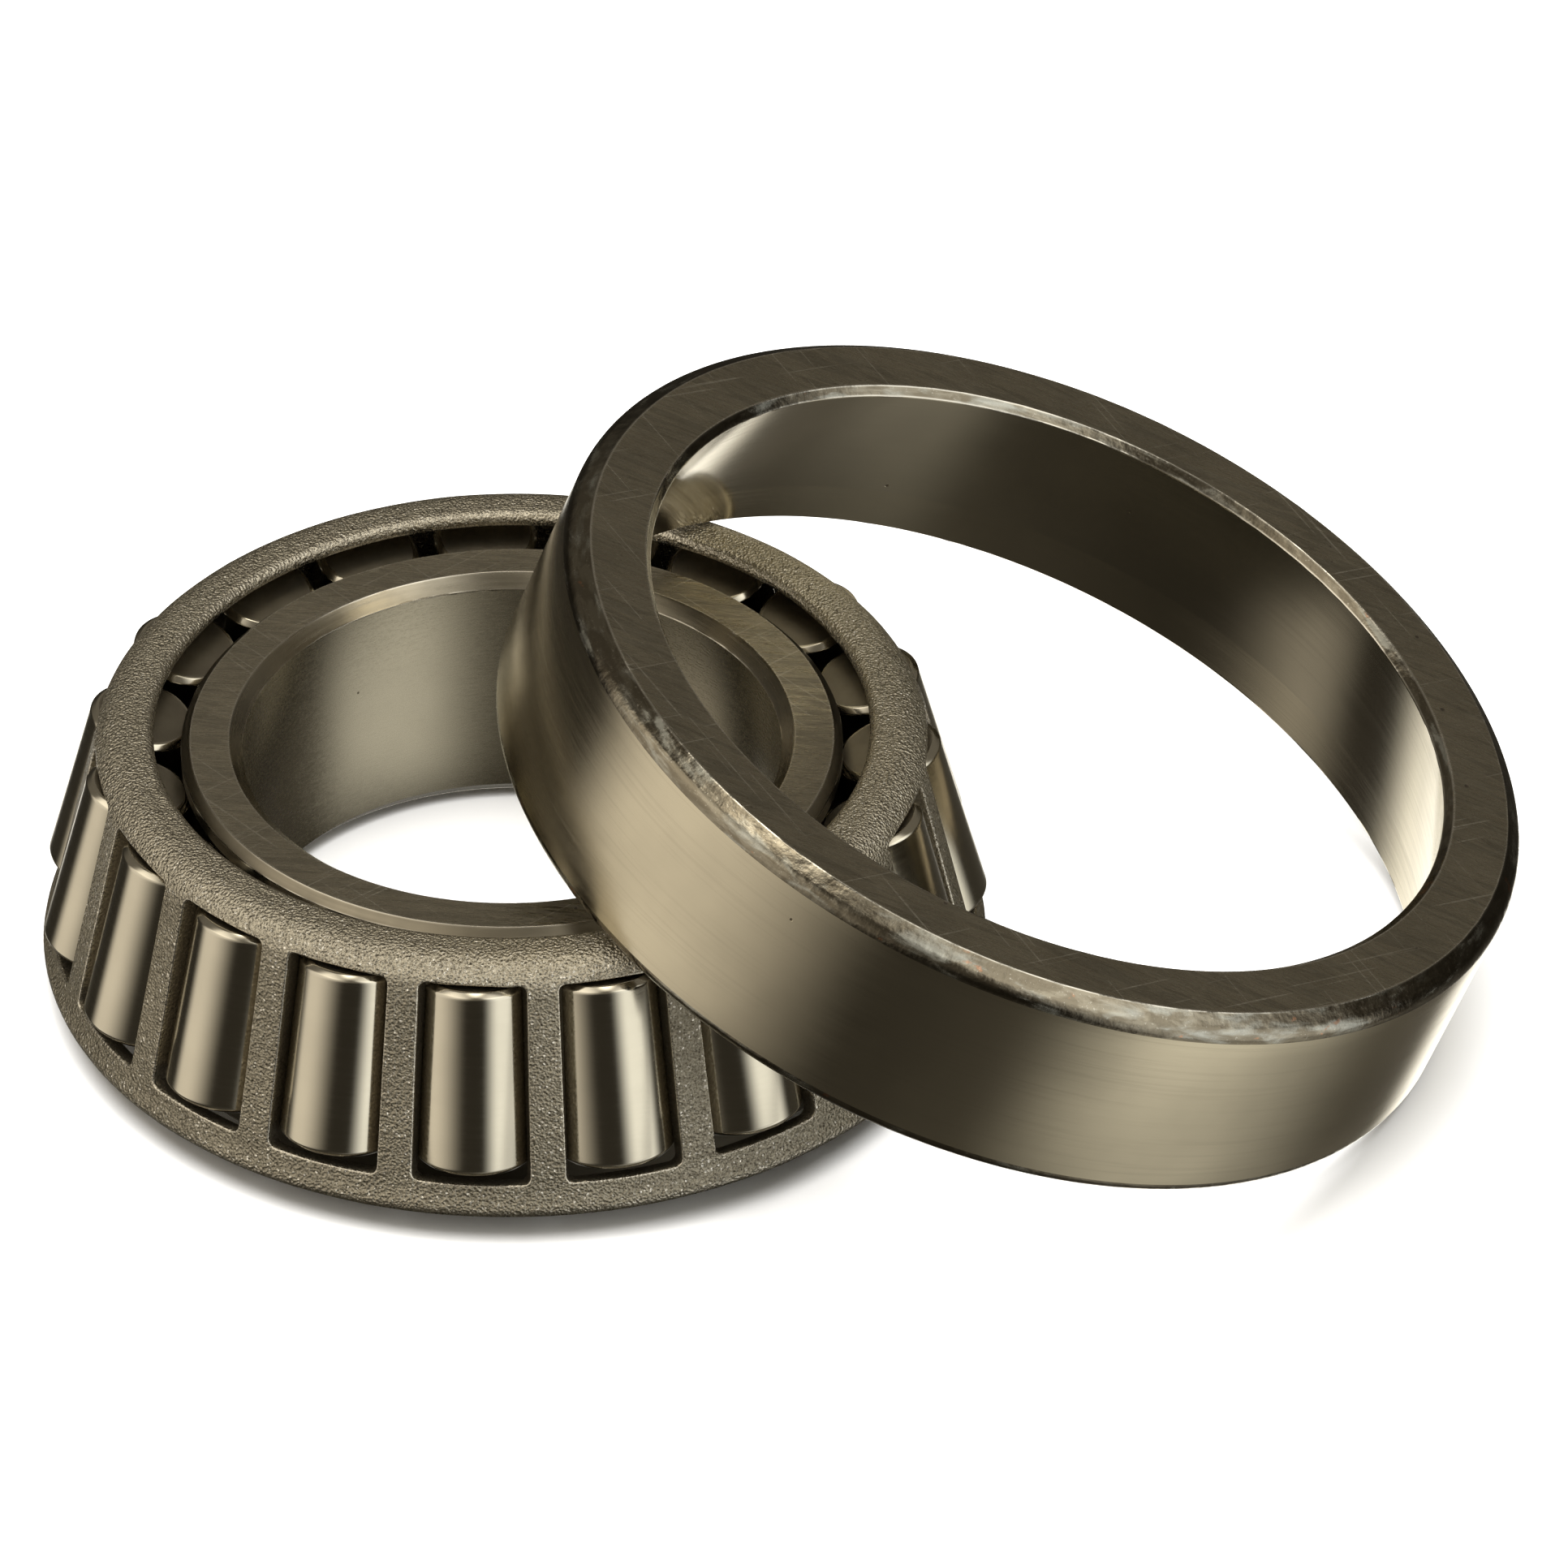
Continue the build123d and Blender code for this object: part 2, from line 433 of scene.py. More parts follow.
def window_top():
    """How far along a roller its window reaches, from the large end."""
    low, high = section_reach(rollers[0], roller_frame(rollers[0]))
    return high - low + WINDOW_TOP_GAP


def on_circle(point, sideways):
    """A point of the section carried round to where it lies this far to the side."""
    turn = asin(sideways / point.x)
    return Vector((point.x * cos(turn), point.x * sin(turn), point.y))


def cage_half_bay(sheet, bay):
    """Half of one window's bay, out to the next bar's middle, as (grid of points, marks) pairs.

    There is one mark to each row of a grid: 1 on a polished edge, which gets a painted highlight,
    0 on the open surface and -1 on a window's punched wall, which gets painted shade.
    """
    top = window_top()
    zero = sheet.window_zero
    start, end = SHEET / 2, sheet.length - SHEET / 2
    grids = []

    def bar_row(point, sideways):
        """Points from a window's side to the middle of the bar beside it."""
        first = asin(sideways / point.x)
        turns = [first + (bay - first) * column / BAR_COLUMNS for column in range(BAR_COLUMNS + 1)]
        return [on_circle(point, point.x * sin(turn)) for turn in turns]

    def window_row(point, sideways):
        """Points from the middle of a window's foot or top to its side."""
        shares = [column / WINDOW_COLUMNS for column in range(WINDOW_COLUMNS + 1)]
        return [on_circle(point, sideways * share) for share in shares]

    openings = []
    for narrowed in (0, 1):
        outline = window_outline(top, WINDOW_ROUND, narrowed)
        openings.append(outline[WINDOW_COLUMNS:-WINDOW_COLUMNS])
    for depth, opening in zip((0, SHEET), openings):
        (foot_side, foot_along), (top_side, top_along) = opening[0], opening[-1]
        foot_run, lip_run = foot_along + zero - start, top_along + zero - end
        below = [(start + foot_run * step / FOOT_ROWS, foot_side) for step in range(FOOT_ROWS)]
        above = [(end + lip_run * step / SHOULDER_ROWS, top_side) for step in range(SHOULDER_ROWS)]
        pairs = below + [(along + zero, sideways) for sideways, along in opening] + above[::-1]
        rows = [(sheet.point(along, depth), sideways) for along, sideways in pairs]
        bare = [0.0] * len(rows)
        grids.append(([bar_row(*row) for row in rows], bare))
        for part in (rows[: FOOT_ROWS + 1], rows[-SHOULDER_ROWS - 1 :]):
            grids.append(([window_row(*row) for row in part], bare))
    for along, corner, outward in ((start, 0, -1), (end, -1, 1)):
        outside, inside = openings[0][corner][0], openings[1][corner][0]
        spreads = [outside + (inside - outside) * step / CAP_STEPS for step in range(CAP_STEPS + 1)]
        centre = sheet.point(along, SHEET / 2)
        normal = (sheet.point(along, 0) - centre).normalized()
        ahead = Vector((-normal.y, normal.x)) * outward
        cap = []
        for step in range(CAP_STEPS + 1):
            swing = pi * step / CAP_STEPS
            cap.append(centre + (normal * cos(swing) + ahead * sin(swing)) * SHEET / 2)
        # the sheet's cut ends at foot and lip: half marked, for polished steel and a painted
        # highlight
        rubbed_and_highlighted = [0.0] + [0.5] * (CAP_STEPS - 1) + [0.0]
        grids.append(([bar_row(*row) for row in zip(cap, spreads)], rubbed_and_highlighted))
        grids.append(([window_row(*row) for row in zip(cap, spreads)], rubbed_and_highlighted))
    outer, inner = [], []
    for step in range(ROUND_STEPS + 1):
        swing = pi / 2 * step / ROUND_STEPS
        grow, depth = WINDOW_ROUND * (1 - sin(swing)), WINDOW_ROUND * (1 - cos(swing))
        outer.append((grow, depth, 0))
        inner.insert(0, (grow, SHEET - depth, 1))
    # the window's rim is marked for a painted highlight, its punched wall for painted shade
    outer_wear_and_light = [0.0] + [1.0] * (ROUND_STEPS - 1) + [-0.5]
    inner_wall_shade = [-1.0] + [-0.5] * (ROUND_STEPS - 1) + [0.0]
    punched = [outer[-1], (0, SHEET / 2, 0), inner[0]]
    for loops, wears_and_painted_light in ((outer, outer_wear_and_light), (punched, [-0.5, -1.0, -1.0]), (inner, inner_wall_shade)):
        wall = []
        for grow, depth, narrowed in loops:
            run = window_outline(top, grow, narrowed)
            places = [(sheet.point(along + zero, depth), sideways) for sideways, along in run]
            wall.append([on_circle(*place) for place in places])
        grids.append((wall, wears_and_painted_light))
    return grids


def cage_mesh():
    """The whole pressed cage as a bmesh: one half bay, mirrored and turned round."""
    places = [Vector(joints[name + "_spin"]["pos_m"]) for name in rollers]
    axis = Vector(joints[rollers[0] + "_spin"]["axis"])
    foot = Vector((hypot(places[0].x, places[0].y), places[0].z))
    sheet = PressedSheet(foot, asin(hypot(axis.x, axis.y)))
    grids = cage_half_bay(sheet, pi / len(rollers))
    mesh = bmesh.new()
    wear_and_light_layer = mesh.verts.layers.float.new("edge")
    for place in places:
        turn = Matrix.Rotation(atan2(place.y, place.x), 3, "Z")
        for side in (1, -1):
            for grid, wears_and_painted_light in grids:
                rows = []
                for points, wear_and_painted_light in zip(grid, wears_and_painted_light):
                    row = [mesh.verts.new(turn @ Vector((x, side * y, z))) for x, y, z in points]
                    for vertex in row:
                        vertex[wear_and_light_layer] = wear_and_painted_light
                    rows.append(row)
                for low, high in zip(rows, rows[1:]):
                    for column in range(len(low) - 1):
                        after = column + 1
                        mesh.faces.new((low[column], low[after], high[after], high[column]))
    bmesh.ops.remove_doubles(mesh, verts=mesh.verts, dist=MERGE / 2)
    noise.seed_set(PRESS_SEED)
    for vertex in mesh.verts:
        vertex.co += noise.noise_vector(vertex.co / PRESS_SPACING) * PRESS_WAVES
    return mesh


# ---------------------------------------------------------------- materials

# Pale steel for edges: polished steel and a painted highlight together
RUBBED_STEEL_AND_HIGHLIGHT = (0.78, 0.74, 0.66)
# Heights in millimetres up the cage, over which its shoulder gets a painted highlight
CAGE_SHOULDER_MM = (21.5, 23.8)
SCRATCH_TURNS = (31, -47)


class Nodes:
    """Short calls that add a node to a shader's tree and return its output."""

    def __init__(self, tree):
        self.tree = tree

    def node(self, kind, **settings):
        """The node itself, with its settings made."""
        made = self.tree.nodes.new(kind)
        for key, value in settings.items():
            setattr(made, key, value)
        return made

    def plug(self, socket, value):
        """Links another node's output to a socket, or sets the socket to a fixed value."""
        if isinstance(value, bpy.types.NodeSocket):
            self.tree.links.new(value, socket)
        else:
            socket.default_value = value

    def math(self, operation, first, second=0.0, third=0.0, clamp=False):
        """A sum on up to three values, each a fixed number or another node's output."""
        made = self.node("ShaderNodeMath", operation=operation, use_clamp=clamp)
        for socket, value in zip(made.inputs, (first, second, third)):
            self.plug(socket, value)
        return made.outputs[0]

    def vector(self, operation, first, second=None, scale=None):
        """A sum on vectors. A length or a dot product gives a number."""
        made = self.node("ShaderNodeVectorMath", operation=operation)
        self.plug(made.inputs[0], first)
        if second is not None:
            self.plug(made.inputs[1], second)
        if scale is not None:
            self.plug(made.inputs["Scale"], scale)
        return made.outputs["Value" if operation in ("LENGTH", "DOT_PRODUCT") else "Vector"]

    def turned(self, vector, angle):
        """A vector turned about Z, by an angle in radians."""
        made = self.node("ShaderNodeVectorRotate", rotation_type="Z_AXIS")
        self.plug(made.inputs["Vector"], vector)
        made.inputs["Angle"].default_value = angle
        return made.outputs["Vector"]

    def remap(self, value, low, high, to_low=0.0, to_high=1.0):
        """A smooth step from one value to another, as the input goes from low to high."""
        made = self.node("ShaderNodeMapRange", interpolation_type="SMOOTHSTEP", clamp=True)
        for socket, number in zip(made.inputs, (value, low, high, to_low, to_high)):
            self.plug(socket, number)
        return made.outputs["Result"]

    def band(self, value, rise_start, rise_end, fall_start, fall_end):
        """A value that rises smoothly from 0 to 1 and falls again."""
        rise = self.remap(value, rise_start, rise_end)
        fall = self.remap(value, fall_start, fall_end, 1.0, 0.0)
        return self.math("MULTIPLY", rise, fall)

    def mix(self, share, first, second, blend="MIX"):
        """Two colours blended by a share."""
        made = self.node("ShaderNodeMix", data_type="RGBA", blend_type=blend)
        self.plug(made.inputs["Factor"], share)
        for key, value in (("A", first), ("B", second)):
            socket = next(item for item in made.inputs if item.name == key and item.type == "RGBA")
            self.plug(socket, value)
        return next(item for item in made.outputs if item.type == "RGBA")


class Steel(Nodes):
    """A metal material, built up by stains, dull patches and bumps over one tint and roughness."""

    def __init__(self, name, tint, roughness):
        self.material = bpy.data.materials.new(name)
        self.material.use_nodes = True
        super().__init__(self.material.node_tree)
        self.shader = self.tree.nodes["Principled BSDF"]
        self.shader.inputs["Metallic"].default_value = 1.0
        metres = self.node("ShaderNodeTexCoord").outputs["Object"]
        self.place = self.vector("SCALE", metres, scale=1 / MM)
        # the edge mark: above 0 polished edges with a painted highlight, below 0 punched walls with
        # painted shade
        self.wear_and_painted_light = self.node("ShaderNodeAttribute", attribute_name="edge").outputs["Fac"]
        self.tint = tint
        self.colour = (*tint, 1)
        self.roughness = roughness
        self.normal = None

    def along(self, axis):
        """How far the place lies along an axis, in millimetres."""
        return self.vector("DOT_PRODUCT", self.place, axis)

    def stretched(self, factors, turn=0.0):
        """The place in millimetres, turned about Z by degrees and then scaled along each axis."""
        made = self.node("ShaderNodeMapping", vector_type="POINT")
        place = self.turned(self.place, radians(turn)) if turn else self.place
        self.plug(made.inputs["Vector"], place)
        made.inputs["Scale"].default_value = factors
        return made.outputs["Vector"]

    def noise(self, place, scale=1.0, detail=3.0, roughness=0.55, distortion=0.0):
        """Fractal noise at a place in millimetres, mostly between 0.3 and 0.7."""
        made = self.node("ShaderNodeTexNoise")
        self.plug(made.inputs["Vector"], place)
        made.inputs["Scale"].default_value = scale
        made.inputs["Detail"].default_value = detail
        made.inputs["Roughness"].default_value = roughness
        made.inputs["Distortion"].default_value = distortion
        return made.outputs["Fac"]

    def cells(self, scale, feature="F1"):
        """The outputs of a cell pattern: the distance to each cell's point, and its colour."""
        made = self.node("ShaderNodeTexVoronoi", feature=feature)
        self.plug(made.inputs["Vector"], self.place)
        made.inputs["Scale"].default_value = scale
        return made.outputs

    def stain(self, share, colour):
        """Mixes a colour over the steel's own."""
        self.colour = self.mix(share, self.colour, (*colour, 1))

    def dull(self, amount):
        """Adds a value to the roughness."""
        self.roughness = self.math("ADD", self.roughness, amount)

    def raise_by(self, height, strength, distance):
        """Stacks a bump of this height on the others, its distance in metres."""
        made = self.node("ShaderNodeBump")
        self.plug(made.inputs["Strength"], strength)
        made.inputs["Distance"].default_value = distance
        self.plug(made.inputs["Height"], height)
        if self.normal is not None:
            self.plug(made.inputs["Normal"], self.normal)
        self.normal = made.outputs["Normal"]

    def grain(self, factors, depth, dullness):
        """Grinding marks, in roughness and bump: noise drawn out along the small factors' axes.

        Returns the noise, so that a stain can follow it.
        """
        streak = self.noise(self.stretched(factors), 1.0, 4.0, 0.65)
        self.dull(self.remap(streak, 0.3, 0.7, -dullness, dullness))
        self.raise_by(streak, 0.6, depth)
        return streak

    def mottle(self, scale, amount, seed):
        """Slow changes of tone, as handled and oiled steel has."""
        place = self.vector("ADD", self.place, (seed, seed * 0.7, seed * 1.3))
        patch = self.noise(place, scale, 3.0, 0.5)
        self.stain(self.remap(patch, 0.35, 0.65, 0.0, amount), [part * 0.55 for part in self.tint])

    def specks(self, scale, size, share, colour):
        """Sparse small marks, each a dark dot with a rough floor, in this share of the cells."""
        cell = self.cells(scale)
        near = self.remap(cell["Distance"], size * 0.5, size, 1.0, 0.0)
        chance = self.vector("DOT_PRODUCT", cell["Color"], (1, 0, 0))
        pick = self.math("GREATER_THAN", chance, 1 - share)
        mark = self.math("MULTIPLY", near, pick)
        self.stain(mark, colour)
        self.dull(self.math("MULTIPLY", mark, 0.3))
        self.raise_by(self.math("SUBTRACT", 1.0, mark), 0.7, 0.03 * MM)

    def worn_and_highlighted(self, shine, light):
        """Edges made smooth by shine and paler by light: polished steel and a painted highlight."""
        self.dull(self.math("MULTIPLY", self.wear_and_painted_light, -shine))
        self.stain(self.math("MULTIPLY", self.wear_and_painted_light, light), RUBBED_STEEL_AND_HIGHLIGHT)

    def done(self):
        """Plugs the colour, roughness and bumps into the shader, and returns the material."""
        self.plug(self.shader.inputs["Base Color"], self.colour)
        limited = self.math("MINIMUM", self.math("MAXIMUM", self.roughness, 0.05), 0.9)
        self.plug(self.shader.inputs["Roughness"], limited)
        if self.normal is not None:
            self.plug(self.shader.inputs["Normal"], self.normal)
        return self.material


def ground_outside():
    """The outer ring's outside, ground round and round to a soft shine."""
    steel = Steel("ground_outside", (0.58, 0.525, 0.40), 0.17)
    steel.mottle(0.09, 0.22, 3.0)
    streak = steel.grain((0.04, 0.04, 2.6), 0.003 * MM, 0.02)
    steel.stain(steel.remap(streak, 0.5, 0.66, 0.0, 0.13), (0.36, 0.32, 0.24))
    steel.grain((0.3, 0.3, 9.0), 0.0015 * MM, 0.02)
    steel.specks(0.35, 0.06, 0.12, (0.2, 0.17, 0.12))
    steel.worn_and_highlighted(0.05, 0.35)
    return steel.done()


def honed_raceway():
    """The outer raceway, honed round and round until it mirrors softly."""
    steel = Steel("honed_raceway", (0.56, 0.51, 0.395), 0.15)
    steel.mottle(0.07, 0.3, 8.0)
    streak = steel.grain((0.05, 0.05, 3.4), 0.002 * MM, 0.02)
    steel.stain(steel.remap(streak, 0.5, 0.66, 0.0, 0.13), (0.34, 0.30, 0.23))
    steel.specks(0.3, 0.06, 0.12, (0.18, 0.15, 0.11))
    steel.worn_and_highlighted(0.04, 0.3)
    return steel.done()


def oiled_raceway_painted_shade():
    """The inner raceway and its ribs: ground steel under a dull film of old oil, tint darkened as
    painted shade.
    """
    steel = Steel("oiled_raceway_painted_shade", (0.30, 0.266, 0.203), 0.34)
    steel.mottle(0.2, 0.4, 9.0)
    steel.grain((0.1, 0.1, 3.0), 0.004 * MM, 0.06)
    steel.worn_and_highlighted(0.1, 0.4)
    return steel.done()


def ground_face(name, tint, roughness, turns, marks):
    """A flat face, lapped in strokes along X: each set of strokes is turned by a few degrees.

    Marks is how strongly the strokes darken the steel.
    """
    steel = Steel(name, tint, roughness)
    steel.mottle(0.12, 0.35, 5.0)
    for number, turn in enumerate(turns):
        strokes = steel.stretched((0.16, 3.4 + 2 * number, 1.0), turn)
        streak = steel.noise(strokes, 1.0, 4.0, 0.7, 0.3)
        steel.dull(steel.remap(streak, 0.4, 0.62, -0.08, 0.08))
        steel.stain(steel.remap(streak, 0.5, 0.62, 0.0, marks), [part * 0.4 for part in tint])
        steel.raise_by(streak, 0.8, 0.007 * MM)
    smudge = steel.noise(steel.stretched((0.11, 0.75, 1.0), turns[0]), 1.0, 3.0, 0.6, 1.2)
    steel.stain(steel.remap(smudge, 0.5, 0.6, 0.0, 0.5), [part * 0.45 for part in tint])
    steel.dull(steel.remap(smudge, 0.35, 0.6, -0.05, 0.05))
    for turn in (turns[-1] + SCRATCH_TURNS[0], turns[0] + SCRATCH_TURNS[1]):
        scratch = steel.noise(steel.stretched((0.06, 3.2, 1.0), turn), 1.0, 1.0, 0.4)
        line = steel.remap(scratch, 0.69, 0.72, 0.0, 1.0)
        steel.stain(steel.math("MULTIPLY", line, 0.4), (0.82, 0.78, 0.69))
        steel.raise_by(line, 0.5, -0.01 * MM)
    steel.specks(0.35, 0.1, 0.2, (0.12, 0.10, 0.08))
    steel.worn_and_highlighted(0.08, 0.6)
    return steel.done()


def stained_bevel():
    """Soft heat and handling stains, drawn out round the ring, over a smooth turned surface."""
    steel = Steel("stained_bevel", (0.255, 0.228, 0.176), 0.15)
    ripple = steel.noise(steel.place, 0.7, 3.0, 0.5)
    cloud = steel.noise(steel.stretched((0.4, 0.4, 1.4)), 1.0, 3.0, 0.55, 0.6)
    pale = steel.noise(steel.stretched((0.22, 0.22, 1.1), 63), 1.0, 4.0, 0.55, 0.4)
    rust = steel.noise(steel.stretched((0.4, 0.4, 0.8), 75), 1.0, 3.0, 0.5)
    fine = steel.noise(steel.place, 4.0, 3.0, 0.6)
    streak = steel.noise(steel.stretched((0.2, 0.2, 4.0)), 1.0, 3.0, 0.6)
    steel.stain(steel.remap(cloud, 0.42, 0.56, 0.0, 0.55), (0.13, 0.108, 0.075))
    steel.stain(steel.remap(streak, 0.5, 0.66, 0.0, 0.45), (0.17, 0.145, 0.105))
    steel.stain(steel.remap(pale, 0.48, 0.70, 0.0, 0.6), (0.56, 0.57, 0.52))
    steel.stain(steel.remap(rust, 0.67, 0.72, 0.0, 0.6), (0.46, 0.23, 0.13))
    steel.stain(steel.remap(fine, 0.62, 0.70, 0.0, 0.25), (0.72, 0.69, 0.61))
    steel.dull(steel.remap(pale, 0.5, 0.67, 0.0, 0.17))
    steel.dull(steel.remap(fine, 0.35, 0.65, -0.03, 0.04))
    steel.dull(steel.remap(streak, 0.4, 0.6, -0.04, 0.04))
    steel.raise_by(ripple, 0.8, 0.09 * MM)
    steel.raise_by(streak, 0.8, 0.012 * MM)
    steel.raise_by(fine, 0.7, 0.006 * MM)
    steel.worn_and_highlighted(0.06, 0.75)
    return steel.done()


def turned_bevel():
    """The chamfers at the bore's ends."""
    steel = Steel("turned_bevel", (0.46, 0.42, 0.335), 0.24)
    steel.mottle(0.3, 0.35, 2.0)
    steel.grain((0.1, 0.1, 3.0), 0.004 * MM, 0.05)
    steel.worn_and_highlighted(0.08, 0.55)
    return steel.done()


def ground_bore():
    """The bore: a fine even grain over the grinding marks."""
    steel = Steel("ground_bore", (0.49, 0.445, 0.34), 0.25)
    steel.mottle(0.1, 0.15, 6.0)
    steel.grain((0.5, 0.5, 4.0), 0.004 * MM, 0.03)
    steel.grain((2.6, 2.6, 6.0), 0.004 * MM, 0.05)
    steel.specks(0.4, 0.08, 0.15, (0.16, 0.13, 0.10))
    steel.worn_and_highlighted(0.0, 0.15)
    return steel.done()


def roller_side():
    """A roller's running surface, polished by the raceways."""
    steel = Steel("roller_side", (0.60, 0.555, 0.45), 0.16)
    steel.mottle(0.15, 0.15, 4.0)
    steel.grain((0.3, 0.3, 5.0), 0.0015 * MM, 0.02)
    steel.specks(0.4, 0.07, 0.14, (0.2, 0.16, 0.12))
    steel.worn_and_highlighted(0.0, 0.15)
    return steel.done()


def roller_end_painted_shade():
    """A roller's ends, faced in fine rings round its axis, their tint darkened as painted shade."""
    steel = Steel("roller_end_painted_shade", (0.37, 0.335, 0.27), 0.36)
    out = steel.vector("LENGTH", steel.vector("MULTIPLY", steel.place, (1, 1, 0)))
    rings = steel.noise(steel.vector("SCALE", (1, 0, 0), scale=out), 5.0, 2.0, 0.5)
    steel.dull(steel.remap(rings, 0.3, 0.7, -0.03, 0.03))
    steel.raise_by(rings, 0.3, 0.002 * MM)
    steel.mottle(0.4, 0.3, 1.0)
    steel.worn_and_highlighted(0.1, 0.3)
    return steel.done()


def pressed_cage():
    """Shot-blasted sheet: small dents, some of them with painted glints, calmer at the edges.

    Its shoulder has a painted highlight from above, and the windows' punched walls painted shade.
    """
    steel = Steel("pressed_cage", (0.44, 0.40, 0.316), 0.42)
    steel.mottle(0.12, 0.25, 7.0)
    wall = steel.math("MULTIPLY", steel.wear_and_painted_light, -1.0, clamp=True)
    calm = steel.math("MULTIPLY_ADD", steel.math("ABSOLUTE", steel.wear_and_painted_light), -0.8, 1.0, clamp=True)
    lumps = steel.noise(steel.place, 2.4, 3.0, 0.6)
    dents = steel.cells(4.6, "SMOOTH_F1")["Distance"]
    fine = steel.noise(steel.place, 7.5, 2.0, 0.6)
    cell = steel.cells(4.0)
    pick = steel.vector("DOT_PRODUCT", cell["Color"], (1, 0, 0))
    inside = steel.math("MULTIPLY", steel.remap(cell["Distance"], 0.15, 0.6, 1.0, 0.0), calm)
    # painted glints: a near-white colour and less roughness in some of the cells
    painted_glint = steel.math("MULTIPLY", steel.remap(pick, 0.8, 0.9), inside)
    pit = steel.math("MULTIPLY", steel.remap(pick, 0.45, 0.2), inside)
    steel.dull(steel.remap(fine, 0.35, 0.65, -0.12, 0.12))
    steel.dull(steel.math("MULTIPLY", painted_glint, -0.22))
    steel.stain(steel.remap(lumps, 0.5, 0.72, 0.0, 0.35), (0.25, 0.225, 0.175))
    # painted highlight: the shoulder's top is paler, where light falls from above
    painted_top_light = steel.remap(steel.along((0, 0, 1)), *CAGE_SHOULDER_MM)
    steel.stain(steel.math("MULTIPLY", painted_top_light, 0.55), (0.80, 0.735, 0.60))
    steel.dull(steel.math("MULTIPLY", painted_top_light, -0.05))
    steel.stain(steel.math("MULTIPLY", pit, 0.85), (0.14, 0.123, 0.094))
    steel.stain(painted_glint, (1.0, 0.96, 0.87))
    # painted shade on the windows' punched walls
    steel.stain(steel.math("MULTIPLY", wall, 0.8), (0.12, 0.10, 0.072))
    for height, depth in ((lumps, 0.025), (dents, 0.19), (fine, 0.08)):
        steel.raise_by(height, calm, depth * MM)
    steel.worn_and_highlighted(0.15, 0.45)
    return steel.done()


# ---------------------------------------------------------------- the pieces


def build_outer_ring():
    """The leaning outer ring: ground outside, lapped faces, stained bevels, honed raceway."""
    outside = mounts["outside"]
    outside_radius = outside["dims"]["r_mm"] * MM
    outside_end = outside["dims"]["length_mm"] / 2 * MM
    matrix = axis_frame(outside["pos_m"], outside["axis"], OUTER_RING_SEAM)
    outline = straightened(section("outer_ring", matrix), True)
    low, high = min(point.y for point in outline), max(point.y for point in outline)
    mid_wall = (min(point.x for point in outline) + outside_radius) / 2

    face_steel = ground_face("ground_back_face", (0.46, 0.414, 0.322), 0.38, (4, -9, 15), 0.4)
    materials = [ground_outside(), face_steel, stained_bevel(), honed_raceway()]
    ground, lapped, stained, honed = range(len(materials))

    def zone(radius, height):
        if height < low + MERGE or height > high - MERGE:
            return lapped
        if radius > outside_radius - MERGE:
            return ground
        if abs(height) < outside_end:
            return ground if radius > mid_wall else honed
        beside_raceway = radius < outside_radius - THIN_END_WALL
        return honed if beside_raceway and height < high - INNER_BEVEL_HEIGHT else stained

    edged = softened(outline, True)
    mesh = revolved(edged, True, RING_SEGMENTS, zone, OUTER_RING_WANDER, OUTER_RING_SEED)
    finished_piece("outer_ring_ground", mesh, matrix, materials, "outer_ring")


def build_inner_ring():
    """The inner ring: ground bore and faces, turned chamfers, and its raceway between the ribs."""
    bore_radius = mounts["bore"]["dims"]["r_mm"] * MM
    matrix = axis_frame((0, 0, 0), UP, (1, 0, 0))
    outline = straightened(section("inner_ring", matrix), True)
    top = max(point.y for point in outline)

    face_steel = ground_face("ground_ring_face", (0.62, 0.565, 0.45), 0.38, (2, -7, 11), 0.6)
    materials = [ground_bore(), face_steel, turned_bevel(), oiled_raceway_painted_shade()]
    ground, lapped, turned, oiled_shaded = range(len(materials))

    def zone(radius, height):
        if height < MERGE or height > top - MERGE:
            return lapped
        if radius < bore_radius + MERGE:
            return ground
        return turned if radius < bore_radius + BORE_CHAMFER_REACH else oiled_shaded

    edged = softened(outline, True)
    mesh = revolved(edged, True, RING_SEGMENTS, zone, INNER_RING_WANDER, INNER_RING_SEED)
    finished_piece("inner_ring_ground", mesh, matrix, materials, "inner_ring")


def build_rollers():
    """All the rollers, alike but for how far each has spun."""
    chance = random.Random(ROLLER_SEED)
    outline = straightened(section(rollers[0], roller_frame(rollers[0])), False)
    length = outline[-1].y
    materials = [roller_side(), roller_end_painted_shade()]
    polished, faced = range(len(materials))

    def zone(radius, height):
        return faced if height < MERGE or height > length - MERGE else polished

    edged = softened(outline, False, ROLLER_ROUND)
    for name in rollers:
        spun = roller_frame(name) @ Matrix.Rotation(chance.uniform(0, tau), 4, "Z")
        mesh = revolved(edged, False, ROLLER_SEGMENTS, zone)
        finished_piece(name + "_polished", mesh, spun, materials, name)


def build_cage():
    """The cage, pressed from one sheet."""
    finished_piece("cage_pressed", cage_mesh(), Matrix(), [pressed_cage()], "cage")


# ---------------------------------------------------------------- floor, light and camera

CAMERA_FROM_MIDDLE = Vector((0.0906, -0.8963, 0.6531))
AIM_FROM_MIDDLE = Vector((0.00075, -0.0019, -0.0027))
CAMERA_LENS = 306.66
CAMERA_SENSOR = 36.0
CAMERA_AZIMUTH = atan2(CAMERA_FROM_MIDDLE.y, CAMERA_FROM_MIDDLE.x)
FLOOR_HALF = 3.0
OVERHEAD_SIZE = 3.0
OVERHEAD_POWER = 115
OVERHEAD_PLACE = (0, 0.3, 2.0)
DARK_GROUND = (0.035, 0.031, 0.024)

